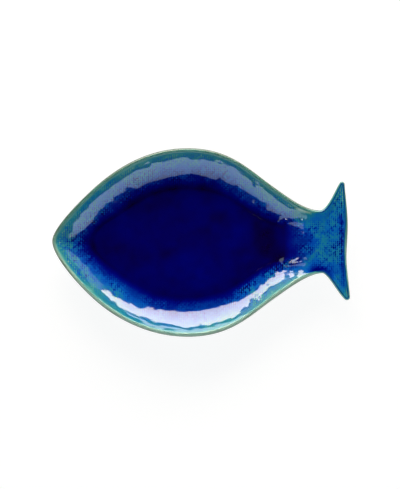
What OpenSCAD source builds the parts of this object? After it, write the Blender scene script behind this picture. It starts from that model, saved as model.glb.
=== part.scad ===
// Fish-shaped serving platter in glazed stoneware: a leaf-shaped well, a wall
// that curls up to a rounded rim, and a shallow tail fin reached over a saddle.
// X runs from the nose to the tail, Y across the belly and Z up. The origin is
// on the table, under the middle of the platter.

/* [Platter] */
// Length from the nose to the end of the tail
platter_length = 430; // [390:1:470]
// Width across the belly
platter_width = 272; // [245:1:300]
// Height of the body's rim above the table
rim_height = 42; // [36:0.5:52]
// Distance from the nose to the widest place
belly_from_nose = 195; // [180:1:215]
// Width of the sloping wall between the rim's edge and the well, from above
wall_run = 57; // [48:1:66]
// How strongly the wall curls up towards the rim: 1 is a straight slope
wall_curl = 1.8; // [1.3:0.1:2.4]
// Length behind the widest place over which the rim stays level before it falls
rim_level_run = 30; // [5:1:50]

/* [Tail] */
// Length from the narrowest place to the end of the tail
tail_length = 42; // [36:1:50]
// Width of the platter at its narrowest place
stem_width = 91; // [76:1:106]
// Width of the tail from tip to tip
tail_span = 172; // [150:1:196]
// Height of the tail's lip above the table
tail_height = 36; // [30:0.5:46]
// Depth of the tail's hollow below its lip
tail_dish = 3; // [1.5:0.5:5]
// Width of the level strip that runs from the well into the tail
neck_width = 26; // [18:1:36]
// Width of the slope inside the tail's trailing lip
fin_lip_run = 5; // [4:0.5:8]
// Length of the slope from the well up to the tail
saddle_run = 62; // [50:1:74]
// Distance from the top of that slope to the narrowest place
saddle_to_stem = 10; // [4:1:16]
// How far the tail's hollow falls from there to its trailing lip
tail_fall = 1; // [0:0.25:2]

/* [Clay] */
// Thickness of the clay under the well
base_thickness = 7; // [5:0.5:9]
// Thickness of the clay at the rounded rim
lip_thickness = 6; // [4:0.5:7]
// Thickness of the clay at the tail's trailing lip
tail_lip_thickness = 4.5; // [3:0.5:6]

/* [Foot ring] */
// Height of the foot ring below the clay base
foot_height = 4.5; // [3:0.5:8]
// Width of the bare face that stands on the table
foot_land = 5; // [3:0.5:7]
// Width of the foot ring where it joins the base
foot_root = 9; // [8:0.5:12]
// Height of the straight part above the bare face
foot_step = 1.2; // [0.6:0.2:2]
// Distance from the well's edge in to the foot ring, at the belly
foot_inset = 5; // [3:0.5:12]
// Distance from the well's two ends in to the foot ring
foot_end_inset = 13; // [10:0.5:24]

/* [Glaze] */
// Thickness of the glaze that has pooled in the well
pool_glaze = 1.2; // [0.8:0.1:2]
// Thickness of the glaze in the tail's hollow
tail_glaze = 0.8; // [0.5:0.1:1.5]
// Thickness of the glaze where it breaks over the rim
edge_glaze = 0.5; // [0.3:0.1:0.8]
// Thickness of the glaze under the platter
back_glaze_depth = 0.5; // [0.3:0.1:0.8]

/* [Hidden] */

clay_colour = [0.80, 0.72, 0.60];
pool_colour = [0.02, 0.03, 0.42];
edge_colour = [0.55, 0.68, 0.58];
back_colour = [0.10, 0.50, 0.50];

// Cut solids run past what they cut by this much
overrun = 2;

// How many grid cells the level floor has along the fish and across it
cells_along = 32;
cells_across = 10;
// How many curve steps each span between two knots of the outline has,
// from the nose along the upper side, round the tail and back
span_steps = [9, 8, 7, 6, 6, 2, 3, 2, 3, 2, 6, 6, 7, 8, 9];
// The floor's grid starts this many steps after the nose
nose_steps = cells_across / 2;
around = 2 * (cells_along + cells_across);
// Steps up the wall, and steps round the lip
wall_steps = 5;
lip_steps = 8;
// Steps in each quarter of the foot ring
foot_steps = 12;

// The fish's back is a little bent, as the hand-cut slab has it: the nose and
// the tail lie this far above the belly's middle, and the stem half as far
bend = 2;
// The narrowest place lies this far before the stem's end on the upper side,
// and as far behind it on the lower side
stem_stagger = 2;

// The lip's centre line lies this far inside the outline
lip_reach = lip_thickness / 2 + edge_glaze;
tail_reach = tail_lip_thickness / 2 + edge_glaze;
half_length = platter_length / 2;

// Places of the outline's knots, on the lip's centre line
x_nose = lip_reach - half_length;
x_belly = belly_from_nose - half_length;
x_stem = half_length - tail_length;
x_end = half_length - tail_reach;
y_belly = platter_width / 2 - lip_reach;
y_stem = stem_width / 2 - lip_reach;
y_tip = tail_span / 2 - tail_reach;

// Heights of the middle of the clay wall
z_floor = foot_height + base_thickness / 2;
z_rim = rim_height - lip_reach;
z_tail_lip = tail_height - tail_reach;
z_tail = z_tail_lip - tail_dish;
z_base = foot_height;

// The well's ends and half width, and the slope up to the tail
x_well = wall_run - half_length;
y_well = platter_width / 2 - wall_run;
y_neck = neck_width / 2;
x_fin_floor = x_stem - fin_lip_run;
x_saddle = x_stem - saddle_to_stem;
x_flat_end = x_saddle - saddle_run;
// The rim falls from here to the end of the well
x_rim_fall = x_belly + rim_level_run;

function mix(a, b, t) = a + (b - a) * t;
function clamped(t) = min(max(t, 0), 1);
function ease(t) = let (c = clamped(t)) c * c * (3 - 2 * c);
function unit(v) = v / norm(v);
function left_of(v) = [-v.y, v.x];
function scaled(v, by) = [v.x * by.x, v.y * by.y];
function bezier(a, b, c, d, t) =
    let (s = 1 - t) a * s * s * s + b * 3 * s * s * t + c * 3 * s * t * t + d * t * t * t;
function bezier_slope(a, b, c, d, t) =
    let (s = 1 - t) (b - a) * 3 * s * s + (c - b) * 6 * s * t + (d - c) * 3 * t * t;

// A knot is [place, handle that arrives, handle that leaves]. Its row in a
// table of shares gives all three in shares of a box's length and width.
function knot(corner, box, row) =
    [corner + scaled(row[0], box), scaled(row[1], box), scaled(row[2], box)];

// The same run of knots from its other end, so that both sides of the fish
// can be written from nose to tail
function turned(knots) =
    [for (i = [len(knots) - 1:-1:0]) [knots[i][0], -knots[i][2], -knots[i][1]]];

// One side of a leaf, from its nose to the stem. The shares are the shoulder's
// and the flank's rows, then the handles before and after the belly and the stem.
function leaf_side(side, nose_x, belly_y, stem, shares) =
    let (
        fore = [x_belly - nose_x, side * belly_y],
        aft = [stem.x - x_belly, side * belly_y - stem.y],
        handle = shares[2]
    )
    [
        knot([nose_x, 0], fore, shares[0]),
        [[x_belly, side * belly_y], [handle[0] * fore.x, 0], [handle[1] * aft.x, 0]],
        knot([x_belly, stem.y], aft, shares[1]),
        [stem, [handle[2] * aft.x, 0], [handle[3] * fin.x, 0]],
    ];

// A closed leaf with a tail: the two sides and the tail between them
function leaf(nose_x, belly_y, upper_stem, lower_stem, upper, lower, nose, tail) =
    concat(
        [[[nose_x, bend], [0, nose[0] * belly_y], [0, nose[1] * belly_y]]],
        leaf_side(1, nose_x, belly_y, upper_stem, upper),
        tail,
        turned(leaf_side(-1, nose_x, belly_y, lower_stem, lower))
    );

// The tail's box, from the middle of the stem to its end and its tips. Two
// knots turn each tip, and two more shape the trailing edge between them.
fin = [x_end - x_stem, y_tip];
tail_shares = [
    [[0.748, 0.991], [0.19, 0.144], [0.013, 0.01]],
    [[0.795, 0.986], [0.002, -0.012], [0.04, -0.24]],
    [[0.911, 0.24], [-0.009, -0.242], [-0.009, -0.242]],
    [[0.873, -0.36], [0.019, -0.169], [0.019, -0.169]],
    [[1, -0.966], [0.015, -0.1], [0.005, -0.023]],
    [[0.915, -0.986], [-0.037, 0.016], [-0.265, 0.113]],
];

// The lip's centre line
rim_nose_shares = [0.128, 0.105];
rim_upper_shares = [
    [[0.313, 0.578], [0.168, 0.22], [0.155, 0.202]],
    [[0.632, 0.397], [0.18, -0.27], [0.142, -0.22]],
    [0.3, 0.315, 0.11, 0.35],
];
rim_lower_shares = [
    [[0.313, 0.605], [0.168, 0.22], [0.155, 0.202]],
    [[0.628, 0.414], [0.18, -0.27], [0.142, -0.22]],
    [0.285, 0.315, 0.1, 0.25],
];
rim_knots = leaf(
    x_nose,
    y_belly,
    [x_stem - stem_stagger, bend / 2 + y_stem],
    [x_stem + stem_stagger, bend / 2 - y_stem],
    rim_upper_shares,
    rim_lower_shares,
    rim_nose_shares,
    [for (row = tail_shares) knot([x_stem, bend], fin, row)]
);

// The edge of the level floor: a leaf in the body, a narrow neck over the
// saddle, and the tail's own outline drawn in towards its middle
fin_floor_share = 0.75;
floor_nose_shares = [0.23, 0.23];
floor_upper_shares = [
    [[0.338, 0.585], [0.16, 0.2], [0.2, 0.25]],
    [[0.515, 0.4], [0.16, -0.3], [0.14, -0.262]],
    [0.3, 0.24, 0.16, 0.2],
];
floor_lower_shares = [
    [[0.338, 0.607], [0.16, 0.2], [0.2, 0.25]],
    [[0.522, 0.45], [0.16, -0.3], [0.14, -0.262]],
    [0.3, 0.24, 0.16, 0.2],
];
floor_knots = leaf(
    x_well,
    y_well,
    [x_fin_floor, bend / 2 + y_neck],
    [x_fin_floor, bend / 2 - y_neck],
    floor_upper_shares,
    floor_lower_shares,
    floor_nose_shares,
    [for (row = tail_shares)
        knot([x_fin_floor, bend], scaled(fin, [1, fin_floor_share]), row)]
);

// A closed run of [point, direction of travel] along the spans between knots
function trace(knots, steps) =
    [for (k = [0:len(knots) - 1])
        let (
            a = knots[k],
            b = knots[(k + 1) % len(knots)],
            p = [a[0], a[0] + a[2], b[0] - b[1], b[0]]
        )
        for (i = [0:steps[k] - 1])
            let (t = i / steps[k])
            [bezier(p[0], p[1], p[2], p[3], t), unit(bezier_slope(p[0], p[1], p[2], p[3], t))]];

// Both lines start at the floor grid's first corner, past the nose
function from_corner(line) = [for (i = [0:around - 1]) line[(i + nose_steps) % around]];
rim_line = from_corner(trace(rim_knots, span_steps));
floor_line = from_corner(trace(floor_knots, span_steps));

// Heights of the floor and of the lip's centre, at a distance along the fish
function up_saddle(x) = ease((x - x_flat_end) / saddle_run);
function along_tail(x) = ease((x - x_saddle) / (x_end - x_saddle));
function floor_z(x) = mix(z_floor, z_tail, up_saddle(x)) - tail_fall * along_tail(x);
function rim_fall(x) = ease((x - x_rim_fall) / (x_flat_end - x_rim_fall));
function lip_z(x) = mix(z_rim, z_tail_lip, rim_fall(x));

// Thickness of the lip's clay and of the floor's glaze at a distance along it
function lip_clay(x) = mix(lip_thickness, tail_lip_thickness, along_tail(x));
function floor_glaze(x) = mix(pool_glaze, tail_glaze, up_saddle(x));

// Half of the wall's clay, and the glaze on its face and back, at station i of
// the rim, from the floor's edge (0) to the lip (1)
function half_clay(i, t) = mix(base_thickness, lip_clay(rim_line[i][0].x), t) / 2;
function face_depth(i, t) = mix(floor_glaze(floor_line[i][0].x), edge_glaze, ease(t));
function back_depth(i, t) = mix(back_glaze_depth, edge_glaze, t);

// Frame of the wall's middle at station i, share t of the way up:
// [place, direction up the wall, direction square to it]
function wall_frame(i, t) =
    let (
        low = floor_line[i][0],
        high = rim_line[i][0],
        third = (high - low) / 3,
        out = left_of(rim_line[i][1]),
        b = low + third,
        c = high - out * norm(third),
        plan = bezier(low, b, c, high, t),
        run = bezier_slope(low, b, c, high, t),
        z0 = floor_z(low.x),
        z1 = lip_z(high.x),
        rise = (z1 - z0) * wall_curl * pow(t, wall_curl - 1),
        up = unit([run.x, run.y, rise]),
        flat = unit(run)
    )
    [
        [plan.x, plan.y, z0 + (z1 - z0) * pow(t, wall_curl)],
        up,
        [-flat.x * up.z, -flat.y * up.z, norm([up.x, up.y])]
    ];

// Rings up the wall's face, with or without its glaze
function face_rings(glazed) =
    [for (k = [0:wall_steps])
        let (t = k / wall_steps)
        [for (i = [0:around - 1])
            let (f = wall_frame(i, t))
            f[0] + f[2] * (half_clay(i, t) + (glazed ? face_depth(i, t) : 0))]];

// Rings down the wall's back, with or without its glaze
function back_rings(glazed) =
    [for (k = [wall_steps:-1:0])
        let (t = k / wall_steps)
        [for (i = [0:around - 1])
            let (f = wall_frame(i, t))
            f[0] - f[2] * (half_clay(i, t) + (glazed ? back_depth(i, t) : 0))]];

// Rings round the lip, counted from the wall's face over the top to its back
function lip_rings(depth, first, last) =
    [for (k = [first:last])
        let (angle = 180 * k / lip_steps)
        [for (i = [0:around - 1])
            let (f = wall_frame(i, 1))
            f[0] + (f[2] * cos(angle) + f[1] * sin(angle)) * (half_clay(i, 1) + depth)]];
function reversed(list) = [for (i = [len(list) - 1:-1:0]) list[i]];

// Inner points of the floor's grid: a patch stretched between its four sides
function patch_point(line, i, j) =
    let (
        u = i / cells_along,
        v = j / cells_across,
        upper = line[i][0],
        lower = line[around - cells_across - i][0],
        tail = line[cells_along + j][0],
        nose = line[(around - j) % around][0],
        c00 = line[0][0],
        c10 = line[cells_along][0],
        c11 = line[cells_along + cells_across][0],
        c01 = line[around - cells_across][0]
    )
    mix(upper, lower, v) + mix(nose, tail, u) - mix(mix(c00, c10, u), mix(c01, c11, u), v);

// Inner points of the floor's upper side, with or without its glaze
function floor_top(glazed) =
    [for (i = [1:cells_along - 1], j = [1:cells_across - 1])
        let (p = patch_point(floor_line, i, j), glaze = glazed ? floor_glaze(p.x) : 0)
        [p.x, p.y, floor_z(p.x) + base_thickness / 2 + glaze]];

// Inner points of the floor's underside, with or without its glaze
function floor_bottom(glazed) =
    [for (i = [1:cells_along - 1], j = [1:cells_across - 1])
        let (p = patch_point(floor_line, i, j), glaze = glazed ? back_glaze_depth : 0)
        [p.x, p.y, floor_z(p.x) - base_thickness / 2 - glaze]];

// Index of a grid corner: on the ring that bounds the floor, or inside it
function corner(i, j, ring, inner) =
    j == 0 ? ring + i :
    i == cells_along ? ring + cells_along + j :
    j == cells_across ? ring + around - cells_across - i :
    i == 0 ? ring + around - j :
    inner + (i - 1) * (cells_across - 1) + j - 1;

function floor_faces(ring, inner, up) =
    [for (i = [0:cells_along - 1], j = [0:cells_across - 1])
        let (
            a = corner(i, j, ring, inner),
            b = corner(i + 1, j, ring, inner),
            c = corner(i + 1, j + 1, ring, inner),
            d = corner(i, j + 1, ring, inner)
        )
        for (f = up ? [[a, b, c], [a, c, d]] : [[a, c, b], [a, d, c]]) f];

// Faces between ring k and the next one, outward when the rings run from the
// floor's upper side over the lip to its underside. Each cell is split along
// its shorter diagonal, so that two skins that share a surface split it alike.
function band_faces(rings, k, next) =
    [for (i = [0:around - 1])
        let (
            j = (i + 1) % around,
            a = k * around + i,
            b = k * around + j,
            c = next * around + j,
            d = next * around + i,
            split_ac = norm(rings[k][i] - rings[next][j]) < norm(rings[k][j] - rings[next][i])
        )
        for (f = split_ac ? [[a, c, b], [a, d, c]] : [[a, d, b], [d, c, b]]) f];

// A closed skin: rings one after the other, with a floor at each end
module shell(rings, upper, lower) {
    last = len(rings) - 1;
    inner = len(rings) * around;
    polyhedron(
        points = concat([for (r = rings) for (p = r) p], upper, lower),
        faces = concat(
            [for (k = [0:last - 1]) for (f = band_faces(rings, k, k + 1)) f],
            floor_faces(0, inner, true),
            floor_faces(last * around, inner + len(upper), false)
        )
    );
}

// A closed band: rings whose last one meets the first again
module hoop(rings) {
    count = len(rings);
    polyhedron(
        points = [for (r = rings) for (p = r) p],
        faces = [for (k = [0:count - 1]) for (f = band_faces(rings, k, (k + 1) % count)) f]
    );
}

// Clay: the dished slab with its rounded rim and its tail
module stoneware_body() {
    color(clay_colour)
        shell(
            concat(face_rings(false), lip_rings(0, 1, lip_steps - 1), back_rings(false)),
            floor_top(false),
            floor_bottom(false)
        );
}

// Glass coat on the face: deep in the well, thin towards the rim
module face_glaze() {
    color(pool_colour)
        shell(
            concat(face_rings(true), reversed(face_rings(false))),
            floor_top(true),
            floor_top(false)
        );
}

// Glass coat over the rim, between the face's coat and the back's
module rim_glaze() {
    color(edge_colour)
        hoop(concat(
            lip_rings(edge_glaze, 0, lip_steps),
            reversed(lip_rings(0, 0, lip_steps))
        ));
}

// The foot ring's centre line, a leaf with round ends inside the well. Its
// handles are shares of its half width and of its lengths before and behind
// the belly.
x_foot_nose = x_well + foot_end_inset + foot_root / 2;
x_foot_tail = x_flat_end - foot_root / 2;
y_foot = y_well - foot_inset - foot_root / 2;
foot_nose_share = 0.26;
foot_tail_share = 0.3;
foot_fore_share = 0.55;
foot_aft_share = 0.5;
foot_nose_handle = [0, y_foot * foot_nose_share];
foot_tail_handle = [0, y_foot * foot_tail_share];
foot_fore_handle = [(x_belly - x_foot_nose) * foot_fore_share, 0];
foot_aft_handle = [(x_foot_tail - x_belly) * foot_aft_share, 0];
foot_knots = [
    [[x_foot_nose, 0], foot_nose_handle, foot_nose_handle],
    [[x_belly, y_foot], foot_fore_handle, foot_aft_handle],
    [[x_foot_tail, 0], -foot_tail_handle, -foot_tail_handle],
    [[x_belly, -y_foot], -foot_aft_handle, -foot_fore_handle],
];
foot_line = trace(foot_knots, [for (k = foot_knots) foot_steps]);

// The line moved out (or in, when negative) by half of a width
function foot_outline(width) = [for (p = foot_line) p[0] + left_of(p[1]) * width / 2];

// Bare clay ring on the base, tapered down to the face that stands on the table
module foot_ring() {
    outlines = [
        [foot_root, z_base],
        [foot_root, z_base - back_glaze_depth],
        [foot_land, foot_step],
        [-foot_land, foot_step],
        [-foot_root, z_base - back_glaze_depth],
        [-foot_root, z_base]
    ];
    around_foot = len(foot_line);
    count = len(outlines);
    color(clay_colour)
        union() {
            polyhedron(
                points = [for (o = outlines) for (p = foot_outline(o[0])) [p.x, p.y, o[1]]],
                faces = [for (k = [0:count - 1], i = [0:around_foot - 1])
                    let (
                        next = (k + 1) % count,
                        a = k * around_foot + i,
                        b = k * around_foot + (i + 1) % around_foot,
                        c = next * around_foot + (i + 1) % around_foot,
                        d = next * around_foot + i
                    )
                    for (f = [[a, c, b], [a, d, c]]) f]
            );
            linear_extrude(foot_step)
                difference() {
                    polygon(foot_outline(foot_land));
                    polygon(foot_outline(-foot_land));
                }
        }
}

// Glass coat under the platter, from the rim down to the foot ring
module back_glaze() {
    color(back_colour)
        difference() {
            shell(
                concat(reversed(back_rings(false)), back_rings(true)),
                floor_bottom(false),
                floor_bottom(true)
            );
            translate([0, 0, z_base - back_glaze_depth - overrun])
                linear_extrude(back_glaze_depth + 2 * overrun)
                    polygon(foot_outline(foot_root));
        }
}

// Glass coat on the base inside the foot ring
module base_glaze() {
    color(back_colour)
        translate([0, 0, z_base - back_glaze_depth])
            linear_extrude(back_glaze_depth)
                polygon(foot_outline(-foot_root));
}

stoneware_body();
foot_ring();
face_glaze();
rim_glaze();
back_glaze();
base_glaze();
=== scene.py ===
import math

import bpy
import numpy as np
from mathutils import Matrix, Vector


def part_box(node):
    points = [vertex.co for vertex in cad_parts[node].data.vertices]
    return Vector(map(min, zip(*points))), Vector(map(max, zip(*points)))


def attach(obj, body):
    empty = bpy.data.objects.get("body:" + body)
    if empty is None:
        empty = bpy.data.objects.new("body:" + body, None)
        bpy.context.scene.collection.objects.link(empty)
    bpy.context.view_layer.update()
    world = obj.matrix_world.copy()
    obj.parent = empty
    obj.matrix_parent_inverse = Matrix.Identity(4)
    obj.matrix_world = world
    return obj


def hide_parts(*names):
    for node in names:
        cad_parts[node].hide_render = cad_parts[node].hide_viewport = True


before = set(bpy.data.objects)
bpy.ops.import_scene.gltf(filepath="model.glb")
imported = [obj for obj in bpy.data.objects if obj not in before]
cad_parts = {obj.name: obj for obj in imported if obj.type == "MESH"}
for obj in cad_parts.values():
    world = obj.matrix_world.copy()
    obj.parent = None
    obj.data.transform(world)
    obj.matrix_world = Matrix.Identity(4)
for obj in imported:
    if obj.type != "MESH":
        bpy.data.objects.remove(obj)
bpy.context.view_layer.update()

# The platter is worked out in millimetres and put into the meshes in metres
MM = 0.001

# Sizes that the frame gives


def corner_of(node, highest):
    """Lowest (0) or highest (1) corner of a node of the frame, in millimetres."""
    return np.array(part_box(node)[highest]) / MM


half_length, half_width, rim_height = corner_of("rim_glaze", 1)
foot_height = corner_of("foot_ring", 1)[2]
base_thickness = corner_of("face_glaze", 0)[2] - foot_height
edge_glaze = rim_height - corner_of("stoneware_body", 1)[2]
back_glaze = foot_height - corner_of("back_glaze", 0)[2]

# Sizes that the frame doesn't hold as a box, as the clay was made
wall_run = 57
wall_curl = 1.8
rim_level_run = 30
belly_from_nose = 195
tail_length = 42
stem_width = 91
tail_span = 172
tail_height = 36
tail_dish = 3
tail_fall = 1
neck_width = 26
fin_lip_run = 5
saddle_run = 62
saddle_to_stem = 10
lip_thickness = 6
tail_lip_thickness = 4.5
pool_glaze = 1.2
tail_glaze = 0.8
foot_land = 5
foot_root = 9
foot_step = 1.2
foot_inset = 5
foot_end_inset = 13
bend = 2
stem_stagger = 2

# Places that follow from them
lip_reach = lip_thickness / 2 + edge_glaze
tail_reach = tail_lip_thickness / 2 + edge_glaze
x_nose = lip_reach - half_length
x_belly = belly_from_nose - half_length
x_stem = half_length - tail_length
x_end = half_length - tail_reach
y_belly = half_width - lip_reach
y_stem = stem_width / 2 - lip_reach
y_tip = tail_span / 2 - tail_reach
z_floor = foot_height + base_thickness / 2
z_rim = rim_height - lip_reach
z_tail_lip = tail_height - tail_reach
z_tail = z_tail_lip - tail_dish
x_well = wall_run - half_length
y_well = half_width - wall_run
y_neck = neck_width / 2
x_fin_floor = x_stem - fin_lip_run
x_saddle = x_stem - saddle_to_stem
x_flat_end = x_saddle - saddle_run
x_rim_fall = x_belly + rim_level_run
# The face's glaze is made in one piece up to here and in another for the rest
x_pieces_meet = x_flat_end - 20

# The outline's knots as shares of the boxes that they sit in: place, handle
# that arrives, handle that leaves
tail_shares = (
    ((0.748, 0.991), (0.19, 0.144), (0.013, 0.01)),
    ((0.795, 0.986), (0.002, -0.012), (0.04, -0.24)),
    ((0.911, 0.24), (-0.009, -0.242), (-0.009, -0.242)),
    ((0.873, -0.36), (0.019, -0.169), (0.019, -0.169)),
    ((1, -0.966), (0.015, -0.1), (0.005, -0.023)),
    ((0.915, -0.986), (-0.037, 0.016), (-0.265, 0.113)),
)
rim_nose_shares = (0.128, 0.105)
rim_upper_shares = (
    ((0.313, 0.578), (0.168, 0.22), (0.155, 0.202)),
    ((0.632, 0.397), (0.18, -0.27), (0.142, -0.22)),
    (0.3, 0.315, 0.11, 0.35),
)
rim_lower_shares = (
    ((0.313, 0.605), (0.168, 0.22), (0.155, 0.202)),
    ((0.628, 0.414), (0.18, -0.27), (0.142, -0.22)),
    (0.285, 0.315, 0.1, 0.25),
)
fin_floor_share = 0.75
floor_nose_shares = (0.23, 0.23)
floor_upper_shares = (
    ((0.338, 0.585), (0.16, 0.2), (0.2, 0.25)),
    ((0.515, 0.4), (0.16, -0.3), (0.14, -0.262)),
    (0.3, 0.24, 0.16, 0.2),
)
floor_lower_shares = (
    ((0.338, 0.607), (0.16, 0.2), (0.2, 0.25)),
    ((0.522, 0.45), (0.16, -0.3), (0.14, -0.262)),
    (0.3, 0.24, 0.16, 0.2),
)
foot_nose_share = 0.26
foot_tail_share = 0.3
foot_fore_share = 0.55
foot_aft_share = 0.5

# Grid counts. A piece's underside has one cell for each block of fine cells.
cells_along = 560
cells_across = 240
wall_rows = 104
wall_split = 48
lip_rows = 24
block = 8
small_block = 4
# The back and the clay use every second and every fourth station
back_step = 2
back_rows = 40
under_rows = 12
clay_step = 4
clay_rows = 26
clay_lip_rows = 12
foot_steps = 480
# Fine steps along a curve, where a place on it is looked up
lookup_steps = 4000

# Parameters of the floor grid's corners along the outline's knots
nose_corner = 5 / 9
upper_tip_corner = 5.5
lower_tip_corner = 9.5
outline_knots = 15
# Each radian that the rim turns gets as many stations as this many millimetres
turn_spacing = 3

# The cloth that the slab was pressed on: its thread spacing along and across
thread_along = 3.0
thread_across = 2.75


# Curves


def mix(a, b, t):
    """Straight blend from a to b."""
    return a + (b - a) * t


def ease(t):
    """Blend from 0 to 1 that starts and ends level: 3t² - 2t³."""
    t = np.clip(t, 0, 1)
    return t * t * (3 - 2 * t)


def fade_in(value, start, width):
    """0 up to the start and 1 from a width further on, eased between them."""
    return ease((value - start) / width)


def fade_out(value, end, width):
    """1 up to a width before the end and 0 from the end on, eased between them."""
    return ease((end - value) / width)


def left_of(heading):
    """Each plane vector turned a quarter to the left."""
    return np.stack([-heading[..., 1], heading[..., 0]], -1)


def unit(v):
    """Each vector scaled to length 1."""
    return v / np.linalg.norm(v, axis=-1, keepdims=True)


def bezier(a, b, c, d, t):
    """Cubic Bezier curve: the four points weighted by (1-t)³, 3(1-t)²t, 3(1-t)t², t³."""
    s = 1 - t
    return a * s ** 3 + b * 3 * s * s * t + c * 3 * s * t * t + d * t ** 3


def bezier_slope(a, b, c, d, t):
    """Slope of that curve: three times the steps between its points, blended."""
    s = 1 - t
    return (b - a) * 3 * s * s + (c - b) * 6 * s * t + (d - c) * 3 * t * t


def knot(corner, box, row):
    """A knot from its row of shares of a box, which stands on a corner."""
    return np.array([corner, (0, 0), (0, 0)]) + np.array(row) * box


def turned(knots):
    """The same run of knots from its other end: the order and the handles flip."""
    return [k[[0, 2, 1]] * [[1], [-1], [-1]] for k in reversed(knots)]


fin = np.array([x_end - x_stem, y_tip])


def leaf_side(side, nose_x, belly_y, stem, shares):
    """Shoulder, belly, flank and stem of one side of the fish, from its nose on."""
    shoulder, flank, handle = shares
    fore = np.array([x_belly - nose_x, side * belly_y])
    aft = np.array([stem[0] - x_belly, side * belly_y - stem[1]])
    belly = [[x_belly, side * belly_y], [handle[0] * fore[0], 0], [handle[1] * aft[0], 0]]
    root = [stem, [handle[2] * aft[0], 0], [handle[3] * fin[0], 0]]
    return [
        knot((nose_x, 0), fore, shoulder),
        np.array(belly, float),
        knot((x_belly, stem[1]), aft, flank),
        np.array(root, float),
    ]


def leaf(nose_x, belly_y, stems, sides, nose, tail):
    """A closed leaf with a tail: nose, upper side, tail, and the lower side turned."""
    tip = np.array([[nose_x, bend], [0, nose[0] * belly_y], [0, nose[1] * belly_y]])
    upper = leaf_side(1, nose_x, belly_y, stems[0], sides[0])
    lower = leaf_side(-1, nose_x, belly_y, stems[1], sides[1])
    return np.array([tip] + upper + tail + turned(lower))


rim_knots = leaf(
    x_nose,
    y_belly,
    ((x_stem - stem_stagger, bend / 2 + y_stem), (x_stem + stem_stagger, bend / 2 - y_stem)),
    (rim_upper_shares, rim_lower_shares),
    rim_nose_shares,
    [knot((x_stem, bend), fin, row) for row in tail_shares],
)
floor_knots = leaf(
    x_well,
    y_well,
    ((x_fin_floor, bend / 2 + y_neck), (x_fin_floor, bend / 2 - y_neck)),
    (floor_upper_shares, floor_lower_shares),
    floor_nose_shares,
    [knot((x_fin_floor, bend), fin * [1, fin_floor_share], row) for row in tail_shares],
)


def along(knots, s):
    """Places and headings on a closed run of Bezier spans. The whole part of s
    picks the span after a knot, and the rest is the share of that span."""
    span = np.floor(s).astype(int) % len(knots)
    after = (span + 1) % len(knots)
    t = (s - np.floor(s))[:, None]
    a, d = knots[span, 0], knots[after, 0]
    b, c = a + knots[span, 2], d - knots[after, 1]
    return bezier(a, b, c, d, t), unit(bezier_slope(a, b, c, d, t))


def stations(start, end, count):
    """Knot parameters of count + 1 stations from start to end. They lie evenly
    along the rim's length, plus turn_spacing for each radian that it turns."""
    fine = np.linspace(start, end, lookup_steps)
    place, heading = along(rim_knots, fine % outline_knots)
    step = np.linalg.norm(np.diff(place, axis=0), axis=1)
    turn = np.linalg.norm(np.diff(heading, axis=0), axis=1)
    length = np.concatenate([[0], np.cumsum(step + turn * turn_spacing)])
    return np.interp(np.linspace(0, length[-1], count + 1), length, fine)


upper_run = stations(nose_corner, upper_tip_corner, cells_along)
tail_run = stations(upper_tip_corner, lower_tip_corner, cells_across)
lower_run = stations(lower_tip_corner, outline_knots - nose_corner, cells_along)
nose_run = stations(outline_knots - nose_corner, outline_knots + nose_corner, cells_across)
runs = (upper_run, tail_run, lower_run, nose_run)
around = np.concatenate([run[:-1] for run in runs]) % outline_knots


# Heights and thicknesses


def up_saddle(x):
    """Share of the climb from the well to the tail, eased."""
    return fade_in(x, x_flat_end, saddle_run)


def along_tail(x):
    """Share of the way along the tail, eased."""
    return fade_in(x, x_saddle, x_end - x_saddle)


def floor_z(x):
    """Height of the middle of the floor's clay."""
    return mix(z_floor, z_tail, up_saddle(x)) - tail_fall * along_tail(x)


def lip_z(x):
    """Height of the middle of the lip, which falls from the belly to the saddle."""
    return mix(z_rim, z_tail_lip, fade_in(x, x_rim_fall, x_flat_end - x_rim_fall))


def lip_clay(x):
    """Thickness of the lip's clay."""
    return mix(lip_thickness, tail_lip_thickness, along_tail(x))


def floor_glaze(x):
    """Thickness of the glaze on the floor."""
    return mix(pool_glaze, tail_glaze, up_saddle(x))


def column(t):
    """Shares as a column, over a grid's rows."""
    return np.asarray(t, float)[:, None]


def wall_height(low_x, high_x, x, t):
    """Height of the wall's middle: it grows from the floor's to the lip's with t
    to the power of wall_curl. The foot of the wall carries the floor's own slope
    on, which fades out by half of the way up."""
    start = floor_z(mix(x, low_x, ease(t * 2)))
    return start + (lip_z(high_x) - start) * t ** wall_curl


def wall_frame(s, t):
    """Middle of the wall at stations s (columns) and shares t of the way up
    (rows): places, directions up the wall and directions square to it. In plan
    a Bezier curve leads from the floor's edge square into the rim."""
    low, _ = along(floor_knots, s)
    high, heading = along(rim_knots, s)
    third = (high - low) / 3
    b = low + third
    c = high - left_of(heading) * np.linalg.norm(third, axis=1, keepdims=True)
    rows = column(t)
    plan = bezier(low, b, c, high, rows[..., None])
    run = bezier_slope(low, b, c, high, rows[..., None])
    z = wall_height(low[:, 0], high[:, 0], plan[..., 0], rows)
    rise = (lip_z(high[:, 0]) - floor_z(low[:, 0])) * wall_curl * rows ** (wall_curl - 1)
    up = unit(np.dstack([run, rise]))
    flat = unit(run)
    square = np.dstack([-flat * up[..., 2:], np.hypot(up[..., 0], up[..., 1])])
    return np.dstack([plan, z]), up, square


def half_clay(s, t):
    """Half of the wall's clay, from the base's thickness to the lip's."""
    high, _ = along(rim_knots, s)
    return mix(base_thickness, lip_clay(high[:, 0]), column(t)) / 2


def face_depth(s, t):
    """Glaze on the wall's face, eased from the floor's depth to the edge's."""
    low, _ = along(floor_knots, s)
    return mix(floor_glaze(low[:, 0]), edge_glaze, ease(column(t)))


# Hand work: waves of the rim, ripples of the wall, and the print of the cloth

# Cells of the noise's lattice each way, after which it repeats
lattice = 97


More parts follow.
